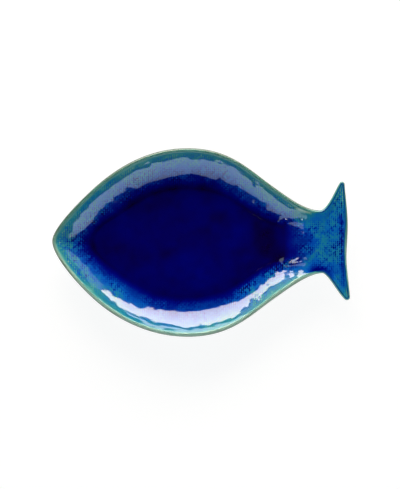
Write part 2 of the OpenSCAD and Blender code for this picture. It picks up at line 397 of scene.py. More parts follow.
def mottle(x, y, size, seed):
    """Smooth noise from -1 to 1: random numbers on a square lattice of that
    size, turned by the seed, blended with the curve 6t⁵ - 15t⁴ + 10t³."""
    table = np.random.default_rng(seed).uniform(-1, 1, (lattice, lattice))
    turn = seed * 0.7
    u = (x * math.cos(turn) - y * math.sin(turn)) / size
    v = (x * math.sin(turn) + y * math.cos(turn)) / size
    i, j = np.floor(u).astype(int), np.floor(v).astype(int)
    fu, fv = u - i, v - j
    fu = fu ** 3 * (fu * (6 * fu - 15) + 10)
    fv = fv ** 3 * (fv * (6 * fv - 15) + 10)
    i, j, next_i, next_j = i % lattice, j % lattice, (i + 1) % lattice, (j + 1) % lattice
    near = mix(table[i, j], table[next_i, j], fu)
    far = mix(table[i, next_j], table[next_i, next_j], fu)
    return mix(near, far, fv)


def layered(x, y, layers, base=0):
    """A base plus layers of that noise, each a row of (how much, size, seed)."""
    return sum((much * mottle(x, y, size, seed) for much, size, seed in layers), base)


def humps(x, y, rows):
    """Sum of smooth humps: a height times exp(-d²) each, with d the distance in
    reaches along the hump's own axes. A row is (x, y, reach along, reach across,
    turn in degrees, height)."""
    total = 0
    for cx, cy, long, wide, turn, height in rows:
        c, s = math.cos(math.radians(turn)), math.sin(math.radians(turn))
        u = ((x - cx) * c + (y - cy) * s) / long
        v = ((y - cy) * c - (x - cx) * s) / wide
        total = total + np.exp(-u * u - v * v) * height
    return total


# A name that ends in _noise holds layers of noise, and one that ends in _fade
# holds the start or the end of a blend and its width

# Strength of the cloth's print: its limits, its mean on the upper and on the
# lower side, how it varies, and where the cloth printed deeply, as humps
print_range = (0.02, 1.2)
upper_print = 0.4
lower_print = 0.14
print_side_fade = (-10, 40)
print_drift_noise = ((0.12, 34, 5),)
print_mean = 0.85
print_patch_noise = ((0.75, 10, 6),)
print_wall_fade = (0.02, 0.3)
print_past_saddle = 14
print_lip_fade = (1, 0.1)
deep_prints = (
    (-186, 4, 14, 13, 0, 1.1), (-172, -40, 10, 26, 40, 0.7), (-128, -68, 20, 7, -35, 0.5),
    (-20, -82, 26, 6, 0, 0.6), (58, -70, 26, 9, 30, 0.8), (108, -40, 26, 9, 35, 0.7),
    (80, -80, 9, 11, 35, 0.9), (142, -16, 24, 13, 10, 1.2), (150, 18, 16, 12, 0, 0.6),
    (190, -10, 14, 26, 0, 0.9), (198, 52, 8, 24, 0, 1.1), (180, 24, 10, 10, 0, 0.9),
    (-150, 44, 18, 9, 42, 0.5), (-90, 92, 30, 6, 32, 0.5),
)


def print_strength(x, y, t):
    """How deeply the cloth printed: faint and patchy over the wall, fainter on
    its lower side, deep in places, and not at all in the level well (t below 0)
    or on the lip (t near 1)."""
    faint = mix(upper_print, lower_print, fade_out(y, *print_side_fade))
    faint = layered(x, y, print_drift_noise, faint)
    patchy = layered(x, y, print_patch_noise, print_mean)
    strength = (faint + humps(x, y, deep_prints)) * patchy
    on_wall = np.maximum(fade_in(t, *print_wall_fade), up_saddle(x - print_past_saddle))
    return np.clip(strength, *print_range) * on_wall * fade_out(t, *print_lip_fade)


# The weave: its ridges, the lift of every second crossing, the bends of its
# threads, how much of it is left, and what breaks it up
ridges_across = 0.46
ridges_along = 0.26
crossing_lift = 0.28
bend_along_noise = ((0.5, 24, 8),)
bend_across_noise = ((0.5, 24, 9),)
weave_mean = 0.85
weave_noise = ((0.6, 6, 73),)
broken_noise = ((0.45, 3.2, 71), (0.3, 2.1, 72))


def cloth(x, y):
    """Plain weave from -1 to 1: cosine ridges for the threads across and, weaker,
    for those along, and a product of half-speed cosines that lifts every second
    crossing. Slow noise bends the threads, and fine noise breaks them up."""
    u = layered(x, y, bend_along_noise, math.pi * x / thread_along)
    v = layered(x, y, bend_across_noise, math.pi * y / thread_across)
    ridges = ridges_across * np.cos(2 * u) + ridges_along * np.cos(2 * v)
    woven = ridges + crossing_lift * np.cos(u) * np.cos(v)
    return woven * layered(x, y, weave_noise, weave_mean) + layered(x, y, broken_noise)


crown_share = 0.6


def pits(x, y):
    """Glaze caught between the threads: the cloth turned over, with its hollows
    kept whole and its crowns cut to crown_share."""
    hollow = -cloth(x, y)
    return np.where(hollow > 0, hollow, hollow * crown_share)


# Depths in millimetres of the rim's waves and of the print, and the hand's marks
# on the face: their layers, their share in the well, and single dents and humps
rim_wave = 0.45
rim_wave_noise = ((0.5, 85, 3),)
print_relief = 0.03
hand_noise = ((0.26, 46, 11), (0.32, 21, 12), (0.16, 9.5, 13), (0.012, 5, 14))
hand_in_well = 0.15
hand_wall_fade = (-0.15, 0.4)
hand_lip_fade = (1, 0.14)
finger_marks = (
    (-3, 112, 3.5, 5, 0, -0.25), (128, -58, 24, 4, 33, 0.16), (120, 48, 6, 5, -30, 0.2),
    (80, 58, 7, 5, -33, 0.25),
)


def waves(x, y, t):
    """Long waves of the rim, never above its drawn height, fading down the wall."""
    return -rim_wave * layered(x, y, rim_wave_noise, 0.5) * np.clip(t, 0, 1)


def ripples(x, y, t):
    """Hand marks on the face: smooth noise, faint in the well and gone at the
    lip, with single dents and humps of the fingers."""
    on_wall = mix(hand_in_well, 1, fade_in(t, *hand_wall_fade))
    marks = layered(x, y, hand_noise) * np.maximum(on_wall, up_saddle(x))
    return (marks + humps(x, y, finger_marks)) * fade_out(t, *hand_lip_fade)


def face_relief(x, y, t, glazed):
    """What the hand does to the face's height, and on the glaze (1) the cloth."""
    height = waves(x, y, t) + ripples(x, y, t)
    if glazed:
        height = height - print_relief * print_strength(x, y, t) ** 2 * cloth(x, y)
    return height


# Grids of the face: the level floor's patch, and the wall's rings


def floor_grid():
    """The level floor in plan, a Coons patch between its four edges: rows from
    the lower side to the upper, columns from the nose to the tail. Also each
    point's distance inside the edge, negative and in shares of the wall's run."""
    edges = (upper_run, lower_run[::-1], tail_run[::-1], nose_run)
    upper, lower, tail, nose = (along(floor_knots, run % outline_knots)[0] for run in edges)
    u = np.linspace(0, 1, cells_along + 1)[None, :, None]
    v = np.linspace(0, 1, cells_across + 1)[:, None, None]
    sides = mix(lower[None], upper[None], v) + mix(nose[:, None], tail[:, None], u)
    ends = mix(mix(lower[0], lower[-1], u), mix(upper[0], upper[-1], u), v)
    plan = sides - ends
    width = np.linalg.norm(upper - lower, axis=1)[None]
    length = np.linalg.norm(upper[-1] - upper[0])
    side_gap = width * np.minimum(v, 1 - v)[..., 0]
    end_gap = length * np.minimum(u, 1 - u)[..., 0]
    return plan, -np.minimum(side_gap, end_gap) / wall_run


floor_plan, floor_inside = floor_grid()


def floor_face(plan, depth_in, glazed):
    """Upper side of the floor, with its glaze (1) or of the bare clay (0)."""
    x, y = plan[..., 0], plan[..., 1]
    z = floor_z(x) + base_thickness / 2 + glazed * floor_glaze(x)
    return np.dstack([x, y, z + face_relief(x, y, depth_in, glazed)])


def wall_face(s, t, glazed):
    """Upper side of the wall, with its glaze (1) or of the bare clay (0)."""
    place, _, square = wall_frame(s, t)
    point = place + square * (half_clay(s, t) + glazed * face_depth(s, t))[..., None]
    point[..., 2] += face_relief(point[..., 0], point[..., 1], column(t), glazed)
    return point


def lip_face(s, angles, depth):
    """Half round of the lip: from the wall's face over the top to its back."""
    place, up, square = wall_frame(s, [1])
    a = np.radians(angles)[:, None, None]
    reach = (half_clay(s, [1]) + depth)[..., None]
    point = place + (square * np.cos(a) + up * np.sin(a)) * reach
    point[..., 2] += waves(place[..., 0], place[..., 1], 1)
    return point


def wall_back(s, t, depth):
    """Underside of the wall, with a coat of that depth."""
    place, _, square = wall_frame(s, t)
    point = place - square * (half_clay(s, t) + depth)[..., None]
    point[..., 2] += waves(place[..., 0], place[..., 1], column(t))
    return point


def grid_normals(grid, closed):
    """Unit normals of a grid: the cross product of its steps along both ways."""
    if closed:
        across = np.roll(grid, -1, 1) - np.roll(grid, 1, 1)
    else:
        across = np.gradient(grid, axis=1)
    up = np.gradient(grid, axis=0)
    return unit(np.cross(across, up))


# Meshes


def numbered(shape, first=0, closed=False):
    """Point numbers of a grid from first on. Closed, each row ends with its first."""
    index = first + np.arange(shape[0] * shape[1]).reshape(shape)
    return np.column_stack([index, index[:, 0]]) if closed else index


def border(grid):
    """Border of a grid over the floor as one ring: its upper edge from the nose
    on, the tail's edge, the lower one back to the nose, and the nose's."""
    return np.concatenate([grid[-1, :-1], grid[:0:-1, -1], grid[0, :0:-1], grid[:-1, 0]])


def border_places(shape):
    """Rows and columns of that ring's points in a grid."""
    return np.unravel_index(border(numbered(shape)), shape)


def quads(index):
    """Four-cornered faces over a grid of point numbers, facing the side from
    which rows run left of the columns."""
    a, b = index[:-1, :-1], index[:-1, 1:]
    c, d = index[1:, 1:], index[1:, :-1]
    return np.stack([a, b, c, d], -1).reshape(-1, 4)


def hem(upper, lower, step):
    """Faces that join step cells each of a fine edge to one cell of a coarse one."""
    cells = len(lower) - 1
    fine = upper[np.arange(cells)[:, None] * step + np.arange(step + 1)]
    return np.column_stack([fine, lower[1:], lower[:-1]])


def slab_faces(top_shape, under_shape, row_step, step, closed):
    """Faces of a closed solid between a fine upper grid and a coarse lower one,
    whose points are numbered one grid after the other."""
    top = numbered(top_shape, 0, closed)
    under = numbered(under_shape, top_shape[0] * top_shape[1], closed)
    faces = [quads(top), quads(under)[:, ::-1]]
    faces.append(hem(top[-1], under[-1], step))
    faces.append(hem(top[0], under[0], step)[:, ::-1])
    if not closed:
        faces.append(hem(top[:, 0], under[:, 0], row_step))
        faces.append(hem(top[:, -1], under[:, -1], row_step)[:, ::-1])
    return faces


def piece(name, grids, faces, material, normals=None, values=None):
    """A smooth shaded mesh object from grids of points in millimetres and arrays
    of faces, with its own normals and named values at its points if given."""
    mesh = bpy.data.meshes.new(name)
    points = np.concatenate([grid.reshape(-1, 3) for grid in grids])
    sizes = np.concatenate([np.full(len(f), f.shape[1]) for f in faces])
    mesh.vertices.add(len(points))
    mesh.vertices.foreach_set("co", (points * MM).astype(np.float32).ravel())
    mesh.loops.add(int(sizes.sum()))
    indices = np.concatenate([f.ravel() for f in faces])
    mesh.loops.foreach_set("vertex_index", indices.astype(np.int32))
    mesh.polygons.add(len(sizes))
    starts = np.cumsum(sizes) - sizes
    mesh.polygons.foreach_set("loop_start", starts.astype(np.int32))
    mesh.update(calc_edges=True)
    mesh.polygons.foreach_set("use_smooth", np.ones(len(sizes), bool))
    for key, value in (values or {}).items():
        layer = mesh.attributes.new(key, "FLOAT", "POINT")
        layer.data.foreach_set("value", value.astype(np.float32).ravel())
    if normals is not None:
        mesh.normals_split_custom_set_from_vertices(normals.astype(np.float32).tolist())
    mesh.materials.append(material)
    made = bpy.data.objects.new(name, mesh)
    bpy.context.scene.collection.objects.link(made)
    return made


def belongs(made, node):
    """A piece rides on the one body and stands in for a node, which it hides."""
    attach(made, "root")
    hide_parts(node)


def coat(name, node, top, under, material, closed, normals, values, row_step=block, step=block):
    """A coat between a fine upper grid and a coarse lower one. The lower grid's points take the
    normal and the values of the upper point above them. It stands in for the node that it hides."""
    faces = slab_faces(top.shape[:2], under.shape[:2], row_step, step, closed)
    below = -normals[::row_step, ::step].reshape(-1, 3)
    both = np.concatenate([normals.reshape(-1, 3), below])
    held = {
        key: np.concatenate([value.ravel(), value[::row_step, ::step].ravel()])
        for key, value in values.items()
    }
    belongs(piece(name, [top, under], faces, material, both, held), node)


# Glaze depth for colour, with painted light and shade between the upper and the lower side: 0
# where the glaze breaks over an edge, 1 in the deepest pool

# Depth profiles up the wall on the upper and the lower side. The climb of the depth towards the
# floor is the glaze's own pooling. The upper side's depths run deeper than the lower side's as
# painted shade on the upper wall, and the lower side's are paler as painted light on the wall that
# faces the lamp.
wall_heights = (-0.12, 0, 0.08, 0.16, 0.25, 0.4, 0.51, 0.62, 0.74, 0.86, 0.93, 0.97, 1)
upper_depths_with_shade = (0.84, 0.92, 0.89, 0.81, 0.72, 0.63, 0.52, 0.42, 0.34, 0.25, 0.19, 0.15, 0.1)
lower_depths_with_light = (0.83, 0.84, 0.79, 0.7, 0.61, 0.55, 0.47, 0.4, 0.31, 0.23, 0.19, 0.15, 0.1)
saddle_places = (100, 116, 122, 128, 142, 157, 165, 171, 178)
saddle_depths = (1.1, 0.98, 0.8, 0.67, 0.61, 0.57, 0.49, 0.41, 0.36)
tail_heights = (0.7, 0.95, 1)
tail_shares_of_depth = (1, 0.9, 0.6)
# Blend over y from the upper side's painted shade to the lower side's painted light
depth_light_side_fade = (-8, 50)
depth_tail_fade = (148, 24)
depth_noise = ((0.05, 38, 21), (0.035, 14, 22))
# The thinnest coat below the edge, and how much of it is lost on the upper tip
thinnest_on_wall = 0.15
thinnest_on_tail = 0.21
thinnest_tail_fade = (140, 15)
thinnest_edge_fade = (0.97, 0.12)
tip_along_fade = (170, 20)
tip_across_fade = (48, 22)
lost_on_tip = 0.6
# What the print adds in the pits between the threads and takes off over all
print_in_pits = 0.68
print_on_threads = 0.12

# Pools and thin places, as humps of the depth
pools = (
    (92, 0, 26, 26, 0, 0.12), (203, 2, 4.5, 60, 2, 0.34), (170, -41, 18, 8, 6, 0.42),
    (160, -20, 3.5, 14, -38, -0.18), (156, -24, 14, 7, 35, -0.12),
    (173, -4, 3, 12, -24, -0.12), (179, 6, 9, 3, 30, -0.16), (183, 15, 8, 5, 10, 0.2),
    (186, -6, 7, 4, 0, 0.18), (186, -50, 9, 6, -40, 0.25), (203, 72, 9, 15, 10, -0.2),
    (208, -72, 6, 10, 0, -0.2), (150, 44, 16, 10, -25, -0.22), (157, 25, 5, 4, 0, -0.24),
    (193, 45, 2, 6, 0, -0.16), (192, -60, 8, 12, 20, -0.08), (66, 60, 20, 7, -32, -0.1),
    (128, -12, 16, 6, 35, 0.06), (100, 62, 40, 5, -30, -0.12), (149, 28, 13, 7, -12, -0.2),
    (104, -66, 34, 5, 33, 0.07), (-182, -32, 15, 26, 30, 0.07), (-178, 3, 13, 6, 0, 0.15),
)


def glaze_depth_and_side_light(x, y, t):
    """Colour depth of the face's glaze at places (x, y) and shares t up the wall: the upper or the
    lower side's profile, at most the saddle's, and then pools, mottling and the print, which is
    deep between the threads. The upper side's profile runs deeper than the lower side's as painted
    shade, and the lower side's is paler as painted light. Below the edge it keeps at least a thin
    coat, which is thicker on the tail than on the wall and thins out on the tail's upper tip."""
    upper = np.interp(t, wall_heights, upper_depths_with_shade)
    lower = np.interp(t, wall_heights, lower_depths_with_light)
    depth = mix(upper, lower, fade_out(y, *depth_light_side_fade))
    saddle = np.interp(x, saddle_places, saddle_depths)
    tail = saddle * np.interp(t, tail_heights, tail_shares_of_depth)
    depth = mix(np.minimum(depth, saddle), tail, fade_in(x, *depth_tail_fade))
    depth = depth + humps(x, y, pools) + layered(x, y, depth_noise)
    print_depth = print_in_pits * pits(x, y) - print_on_threads
    depth = depth + print_strength(x, y, t) * print_depth
    upper_tip = fade_in(x, *tip_along_fade) * fade_in(y, *tip_across_fade)
    thinnest = mix(thinnest_on_wall, thinnest_on_tail, fade_in(x, *thinnest_tail_fade))
    thinnest = thinnest * fade_out(t, *thinnest_edge_fade) * (1 - lost_on_tip * upper_tip)
    return np.maximum(depth, thinnest)


# Finishes


def srgb(r, g, b):
    """A colour of 0 to 255 steps as linear light."""
    value = np.array([r, g, b]) / 255
    low = value / 12.92
    high = ((value + 0.055) / 1.055) ** 2.4
    return (*np.where(value <= 0.04045, low, high), 1.0)


def finish(name):
    """A new node material, its node tree and its Principled shader."""
    material = bpy.data.materials.new(name)
    material.use_nodes = True
    tree = material.node_tree
    return material, tree, tree.nodes["Principled BSDF"]


def feed(tree, node, inputs):
    """Gives a node's inputs their values, or leads other nodes' outputs to them."""
    for key, value in inputs.items():
        if isinstance(value, bpy.types.NodeSocket):
            tree.links.new(value, node.inputs[key])
        else:
            node.inputs[key].default_value = value
    return node


def added(tree, kind, inputs):
    """A new shader node of a kind, fed with its inputs."""
    return feed(tree, tree.nodes.new("ShaderNode" + kind), inputs)


def maths(tree, operation, *values):
    """Result of a Math node on numbers or other nodes' outputs."""
    node = tree.nodes.new("ShaderNodeMath")
    node.operation = operation
    return feed(tree, node, dict(enumerate(values))).outputs[0]


def coordinates(tree, kind):
    """Texture coordinates of a kind."""
    return added(tree, "TexCoord", {}).outputs[kind]


def noise(tree, size, detail):
    """Noise on Object coordinates with marks about size metres wide."""
    inputs = {"Vector": coordinates(tree, "Object"), "Scale": 1 / size, "Detail": detail}
    return added(tree, "TexNoise", inputs).outputs["Fac"]


def held_value(tree, name):
    """A value that the mesh holds at its points."""
    node = added(tree, "Attribute", {})
    node.attribute_name = name
    return node.outputs["Fac"]


def ramp_colour(tree, value, stops):
    """Colour of a ramp over a value, which has (place, colour) stops."""
    node = added(tree, "ValToRGB", {"Fac": value})
    elements = node.color_ramp.elements
    for place, _ in stops[2:]:
        elements.new(place)
    for element, (place, colour) in zip(elements, stops):
        element.position = place
        element.color = colour
    return node.outputs["Color"]


def srgb_stops(rows):
    """Stops of a ramp from rows of (place, red, green, blue) in 0 to 255 steps."""
    return [(place, srgb(*colour)) for place, *colour in rows]


def bumps(tree, height, strength, distance):
    """Normals with fine unevenness from a height, distance metres at most."""
    inputs = {"Height": height, "Strength": strength, "Distance": distance}
    return added(tree, "Bump", inputs).outputs["Normal"]


# The glaze's gloss, and its clouds and speckles: their sizes in metres and how
# much they add to the depth
glaze_ior = 1.62
glaze_roughness = 0.05
cloud_size = 0.012
cloud_depth = 0.08
speckle_size = 0.0016
speckle_depth = 0.07
glaze_ripple = 0.00004

# The clay's roughness, and its marks and grog in metres
clay_roughness = 0.85
clay_mark_size = 0.006
grog_size = 0.0007
grog_share = 0.5
grog_relief = 0.0003

# Colour of the face's glaze over its depth
face_stops = (
    (0.0, 160, 192, 170), (0.06, 106, 174, 162), (0.13, 54, 154, 160), (0.22, 26, 131, 170),
    (0.32, 14, 114, 194), (0.4, 8, 98, 198), (0.48, 2, 76, 190), (0.57, 0, 48, 160),
    (0.66, 0, 16, 144), (0.75, 0, 3, 128), (0.85, 4, 0, 104), (0.93, 8, 0, 76),
    (1.0, 11, 0, 54),
)


def reactive_glaze(name, value, stops, side=None, light_side_stops=None):
    """Glossy glaze: a ramp over the depth at each point plus two sizes of noise, with faint
    ripples in its gloss. Where a side is named, its value blends to a second ramp, so that one
    side is painted darker as painted shade and the other paler as painted light."""
    material, tree, shader = finish(name)
    total = held_value(tree, value)
    clouds = noise(tree, cloud_size, 3)
    speckles = noise(tree, speckle_size, 2)
    for marks, much in ((clouds, cloud_depth), (speckles, speckle_depth)):
        centred = maths(tree, "SUBTRACT", marks, 0.5)
        total = maths(tree, "MULTIPLY_ADD", centred, much, total)
    colour = ramp_colour(tree, total, srgb_stops(stops))
    if side:
        other = ramp_colour(tree, total, srgb_stops(light_side_stops))
        blend = tree.nodes.new("ShaderNodeMix")
        blend.data_type = "RGBA"
        feed(tree, blend, {0: held_value(tree, side), 6: colour, 7: other})
        colour = blend.outputs[2]
    feed(tree, shader, {
        "Base Color": colour,
        "Roughness": glaze_roughness,
        "IOR": glaze_ior,
        "Normal": bumps(tree, speckles, 0.15, glaze_ripple),
    })
    return material


def bare_clay(name, pale, dark):
    """Matt fired stoneware: a buff ground with darker grains of grog."""
    material, tree, shader = finish(name)
    ground, grain = noise(tree, clay_mark_size, 4), noise(tree, grog_size, 1)
    total = maths(tree, "MULTIPLY_ADD", grain, grog_share, ground)
    feed(tree, shader, {
        "Base Color": ramp_colour(tree, total, ((0.5, dark), (0.85, pale))),
        "Roughness": clay_roughness,
        "Normal": bumps(tree, grain, 0.5, grog_relief),
    })
    return material


# The face


def meet_normals(floor_normals, wall_normals):
    """Where the floor's patch meets the wall's first ring both get the mean of
    their two normals, so that no seam shows in the gloss."""
    places = border_places(floor_normals.shape[:2])
    ring = unit(floor_normals[places] + wall_normals[0])
    floor_normals[places] = ring
    wall_normals[0] = ring


def make_face(material):
    """The face's coat in four pieces: the well, the saddle with the tail, and
    two rings of wall."""
    floor_top = floor_face(floor_plan, floor_inside, 1)
    floor_under = floor_face(floor_plan, floor_inside, 0)[::block, ::block]
    shares = np.linspace(0, 1, wall_rows + 1)
    wall_top = wall_face(around, shares, 1)
    wall_under = wall_face(around, shares, 0)[::block, ::block]
    floor_normals = grid_normals(floor_top, False)
    wall_normals = grid_normals(wall_top, True)
    meet_normals(floor_normals, wall_normals)
    floor_depths = glaze_depth_and_side_light(floor_plan[..., 0], floor_plan[..., 1], floor_inside)
    wall_depths_and_side_light = glaze_depth_and_side_light(wall_top[..., 0], wall_top[..., 1], shares[:, None])
    floor = (False, floor_top, floor_under, floor_normals, floor_depths)
    wall = (True, wall_top, wall_under, wall_normals, wall_depths_and_side_light)
    middle = floor_plan[cells_across // 2, :, 0]
    cut = np.searchsorted(middle, x_pieces_meet) // block * block
    whole_rows, whole_ring = (0, cells_across), (0, len(around) - 1)
    parts = (
        ("well_glaze", floor, whole_rows, (0, cut)),
        ("tail_glaze", floor, whole_rows, (cut, cells_along)),
        ("lower_wall_glaze", wall, (0, wall_split), whole_ring),
        ("upper_wall_glaze", wall, (wall_split, wall_rows), whole_ring),
    )
    for name, (closed, top, under, normals, depths), *ends in parts:
        fine = tuple(slice(first, last + 1) for first, last in ends)
        coarse = tuple(slice(first // block, last // block + 1) for first, last in ends)
        values = {"glaze_depth_and_side_light": depths[fine]}
        coat(
            name, "face_glaze", top[fine], under[coarse], material, closed, normals[fine], values
        )


# The rim and the back

# Colour over the half round of the lip, from the wall's edge (rim_start) over
# the top to the back (1). On the tail it starts lower, in the deeper blue.
rim_start = 0.15
tail_rim_start = -0.12
tail_rim_fade = (162, 14)
# Blend over y from the upper side's painted shade to the lower side's painted highlight
rim_light_side_fade = (24, 48)
rim_noise = ((0.04, 16, 31), (0.03, 5, 32))
# The two sides' ramps differ as painted light. The upper one is darker as painted shade. The lower
# one is paler over the inner shoulder and the top as a painted highlight and reflection of the
# lamp that it faces.
upper_rim_shaded_stops = (
    (0.0, 4, 66, 150), (0.1, 16, 104, 142), (0.16, 44, 140, 140), (0.24, 80, 148, 144),
    (0.34, 86, 146, 142), (0.46, 80, 128, 118), (0.58, 76, 104, 86), (0.7, 64, 96, 80),
    (0.84, 40, 96, 88), (1.0, 30, 104, 104),
)
lower_rim_lit_stops = (
    (0.0, 4, 66, 150), (0.1, 20, 112, 146), (0.16, 60, 164, 164), (0.24, 124, 194, 184),
    (0.34, 166, 208, 192), (0.46, 168, 200, 180), (0.58, 150, 172, 144),
    (0.7, 96, 124, 100), (0.84, 44, 100, 92), (1.0, 30, 104, 104),
)


def make_rim(material):
    """The coat over the lip, from the wall's face over the top to its back. Its value rim_turn
    runs up to 1 over the half round, and a second value blends from the upper side's colours,
    darkened as painted shade, to the lower side's, paled as a painted highlight and reflection."""
    angles = np.linspace(0, 180, lip_rows + 1)
    top = lip_face(around, angles, edge_glaze)
    under = lip_face(around, angles, 0)[::small_block, ::block]
    turn = np.linspace(0, 1, lip_rows + 1)[:, None]
    x, y = top[..., 0], top[..., 1]
    start = mix(rim_start, tail_rim_start, fade_in(x, *tail_rim_fade))
    values = {
        "rim_turn": layered(x, y, rim_noise, mix(start, 1, turn)),
        "rim_light_side": fade_out(y, *rim_light_side_fade),
    }
    normals = grid_normals(top, True)
    coat(
        "rim_glaze_coat", "rim_glaze", top, under, material, True, normals, values, small_block
    )


def foot_knots():
    """The foot ring's centre line, a leaf with round ends inside the well."""
    nose = x_well + foot_end_inset + foot_root / 2
    tail = x_flat_end - foot_root / 2
    side = y_well - foot_inset - foot_root / 2
    fore = (x_belly - nose) * foot_fore_share
    aft = (tail - x_belly) * foot_aft_share
    nose_turn = side * foot_nose_share
    tail_turn = side * foot_tail_share
    return np.array([
        [[nose, 0], [0, nose_turn], [0, nose_turn]],
        [[x_belly, side], [fore, 0], [aft, 0]],
        [[tail, 0], [0, -tail_turn], [0, -tail_turn]],
        [[x_belly, -side], [-aft, 0], [-fore, 0]],
    ])


foot_shares = np.arange(foot_steps) / foot_steps


def foot_loop(width, shares=foot_shares):
    """The foot's centre line moved out by half of a width, at shares of its way
    round from the nose."""
    place, heading = along(foot_knots(), shares * 4 % 4)
    return place + left_of(heading) * width / 2


def foot_section():
    """Rows of (width, height) round the ring's section, with a soft edge on the
    land and a hollow where it meets the base. A width counts across the centre
    line, and one below zero lies on its inner side."""
    rise = foot_height - back_glaze
    outer = [
        (foot_root, foot_height),
        (foot_root, rise),
        (foot_root - 1.6, rise - 0.35),
        (foot_land + 1.1, (rise + foot_step) / 2),
        (foot_land + 0.2, foot_step),
        (foot_land, 0.6),
        (foot_land - 0.5, 0.18),
        (foot_land - 1.6, 0.0),
    ]
    return outer + [(-width, height) for width, height in reversed(outer)]


foot_noise = ((0.06, 3, 41),)


def make_foot(material):
    """The bare clay ring: its section carried round the foot's centre line. The
    sides that show are a little rough."""
    rows = []
    for width, height in foot_section():
        loop = foot_loop(width)
        level = np.full(foot_steps, height)
        if 0 < height < foot_height - back_glaze:
            level = layered(loop[:, 0], loop[:, 1], foot_noise, level)
        rows.append(np.column_stack([loop, level]))
    grid = np.array(rows)
    index = numbered(grid.shape[:2], closed=True)
    index = np.concatenate([index, index[:1]])
    made = piece("foot_ring_clay", [grid], [quads(index)], material)
    belongs(made, "foot_ring")


# The base's coat: its rings from the foot inwards as shares of the way out from
# the line in its middle, and that line's share of the foot's length
base_ring_shares = (1, 0.995, 0.98, 0.9, 0.75, 0.6, 0.45, 0.3, 0.15, 0.02)
base_middle_share = 0.35
# The share of its depth that this coat has at the foot, and where it has it all
base_edge_depth = 0.4
base_edge_fade = (1, 0.02)
# How far up the rim's colours the glaze on the back and the base lies
back_turn = 0.92
back_noise = ((0.06, 40, 61),)
base_turn = 0.9
# Floor that is left between the foot's tail end and the tail's own coat
foot_margin = 4


def make_base(material):
    """The coat inside the foot ring: rings drawn in towards a line along its
    middle, closed by a narrow face there, above and below. It thickens to its
    full depth just inside the foot."""
    edge = foot_loop(-foot_root)
    middle_x = mix(x_belly, edge[:, 0], base_middle_share)
    middle = np.column_stack([middle_x, np.zeros(foot_steps)])
    top = np.full(foot_steps, foot_height)
    inner = mix(middle, edge, base_ring_shares[-1])
    rows = [np.column_stack([inner, top]), np.column_stack([edge, top])]
    for share in base_ring_shares:
        dip = back_glaze * mix(base_edge_depth, 1, fade_out(share, *base_edge_fade))
        rows.append(np.column_stack([mix(middle, edge, share), top - dip]))
    grid = np.array(rows)
    index = numbered(grid.shape[:2])
    ring = numbered(grid.shape[:2], closed=True)
    faces = [quads(ring), index[-1:], index[:1, ::-1]]
    values = {"rim_turn": np.full(grid.shape[:2], base_turn)}
    made = piece("base_glaze_coat", [grid], faces, material, None, values)
    belongs(made, "base_glaze")


def back_floor(plan, depth):
    """Underside of the level floor, with a coat of that depth."""
    x, y = plan[..., 0], plan[..., 1]
    return np.dstack([x, y, floor_z(x) - base_thickness / 2 - depth])


def back_coat(name, top, under, closed, material):
    """A coat of the back between grids of its glaze and of the clay under it."""
    under = under[::small_block, ::small_block]
    normals = grid_normals(top, closed)
    values = {"rim_turn": layered(top[..., 0], top[..., 1], back_noise, back_turn)}
    coat(
        name, "back_glaze", top, under, material, closed, normals, values, small_block, small_block
    )


def foot_facing(outer):
    """Points of the foot's outer edge that face a closed run of points: each
    has the same bearing from the belly's middle as its partner in the run."""
    whole = 2 * math.pi
    shares = np.arange(lookup_steps) / lookup_steps
    edge = foot_loop(foot_root, shares)
    bearing = np.unwrap(np.arctan2(edge[:, 1], edge[:, 0] - x_belly))
    target = np.unwrap(np.arctan2(outer[:, 1], outer[:, 0] - x_belly))
    target = target - round((target[0] - bearing[0]) / whole) * whole
    shares = np.concatenate([shares - 1, shares, shares + 1])
    bearing = np.concatenate([bearing + whole, bearing, bearing - whole])
    order = np.argsort(bearing)
    return foot_loop(foot_root, np.interp(target, bearing[order], shares[order]) % 1)


def make_back(material):
    """The coat under the platter: a ring of wall, the tail's floor, and a ring of
    floor from the wall in to the foot."""
    coarse = around[::back_step]
    shares = np.linspace(1, 0, back_rows + 1)
    top, under = wall_back(coarse, shares, edge_glaze), wall_back(coarse, shares, 0)
    back_coat("outer_wall_glaze", top, under, True, material)
    plan = floor_plan[::back_step, ::back_step]
    middle_row = cells_across // back_step // 2
    past_foot = np.searchsorted(plan[middle_row, :, 0], x_flat_end + foot_margin)
    cut = past_foot // small_block * small_block + small_block
    tail = plan[::-1, cut:]
    top, under = back_floor(tail, back_glaze), back_floor(tail, 0)
    back_coat("tail_back_glaze", top, under, False, material)
    outer = border(plan[:, :cut + 1])
    rows = np.linspace(0, 1, under_rows + 1)[:, None, None]
    ring = mix(outer[None], foot_facing(outer)[None], rows)
    top, under = back_floor(ring, back_glaze), back_floor(ring, 0)
    back_coat("under_glaze", top, under, True, material)


def framed_index(ring, first, shape):
    """Point numbers of a floor patch: its border is a ring of stations, which
    starts at the upper nose corner, and its inner points are numbered from first."""
    framed = (shape[0] + 2, shape[1] + 2)
    index = np.empty(framed, int)
    index[1:-1, 1:-1] = numbered(shape, first)
    index[border_places(framed)] = ring
    return index


